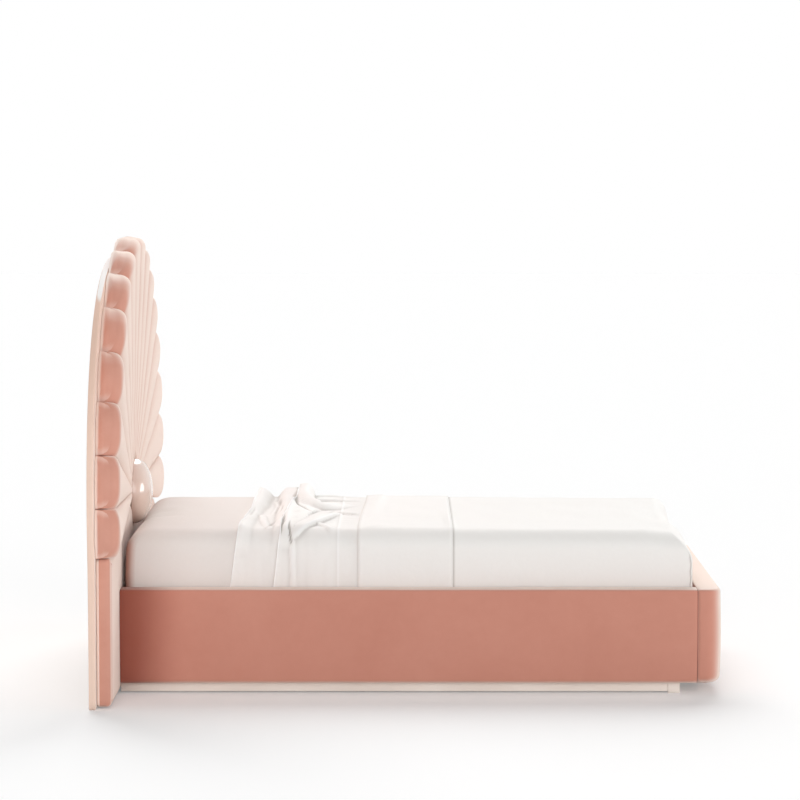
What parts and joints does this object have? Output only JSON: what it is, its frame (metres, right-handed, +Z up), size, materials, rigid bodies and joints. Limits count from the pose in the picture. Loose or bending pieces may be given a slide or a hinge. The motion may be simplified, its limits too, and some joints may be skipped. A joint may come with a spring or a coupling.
{
  "type": "upholstered headboard bed",
  "caption": "Single-and-a-half bed with a padded scallop-shell headboard and pearl boss, velvet rails on a recessed plinth, and a made-up mattress whose foot end lifts.",
  "frame": {"origin": "on the floor, under the middle of the bed's overall box", "axes": "+X from the headboard towards the foot, +Z up, +Y towards the sleeper's left"},
  "size_m": [2.1996, 2.09, 1.5893],
  "materials": {
    "rib_velvet": "blush cotton velvet, pale sheen at grazing angles",
    "base_velvet": "salmon cotton velvet with short pile",
    "panel_fabric": "smooth pale blush upholstery cloth, tight over board",
    "pearl_lacquer": "high-gloss blush lacquer with a faint pearl",
    "plinth_lacquer": "satin beige lacquer on board",
    "timber": "planed pine, unfinished",
    "slat_wood": "beech slats, planed",
    "bolt_steel": "zinc plated",
    "mattress_cloth": "white cotton fitted sheet over a sprung mattress",
    "linen": "white cotton bed linen, soft creases"
  },
  "bodies": {
    "frame": {"back_panel": "panel_fabric", "headboard_block": "rib_velvet", "rib_01": "rib_velvet", "rib_02": "rib_velvet", "rib_03": "rib_velvet", "rib_04": "rib_velvet", "rib_05": "rib_velvet", "rib_06": "rib_velvet", "rib_07": "rib_velvet", "rib_08": "rib_velvet", "rib_09": "rib_velvet", "rib_10": "rib_velvet", "rib_11": "rib_velvet", "rib_12": "rib_velvet", "rib_13": "rib_velvet", "rib_14": "rib_velvet", "rib_15": "rib_velvet", "rib_16": "rib_velvet", "pearl_base": "timber", "pearl": "pearl_lacquer", "foot_rail": "base_velvet", "side_rail_left": "base_velvet", "side_rail_right": "base_velvet", "head_rail": "timber", "slat_ledger_left": "timber", "slat_ledger_right": "timber", "corner_block_left": "timber", "corner_block_right": "timber", "centre_beam": "timber", "centre_leg_head": "timber", "centre_leg_foot": "timber", "head_bolt_1": "bolt_steel", "head_bolt_2": "bolt_steel", "head_bolt_3": "bolt_steel", "head_bolt_4": "bolt_steel", "plinth_left": "plinth_lacquer", "plinth_right": "plinth_lacquer", "plinth_foot": "plinth_lacquer", "plinth_block_left": "plinth_lacquer", "plinth_block_right": "plinth_lacquer", "slat_01": "slat_wood", "slat_02": "slat_wood", "slat_03": "slat_wood", "slat_04": "slat_wood", "slat_05": "slat_wood", "slat_06": "slat_wood", "slat_07": "slat_wood", "slat_08": "slat_wood", "slat_09": "slat_wood", "slat_10": "slat_wood", "slat_11": "slat_wood"},
    "mattress": {"mattress": "mattress_cloth", "top_sheet": "linen", "coverlet": "linen", "turn_down": "linen"}
  },
  "joints": [
    {"name": "mattress_tilt", "type": "hinge", "parent": "frame", "child": "mattress", "pos_m": [-0.988, 0, 0.535], "axis": [0, -1, 0], "range_deg": [0, 15]}
  ]
}
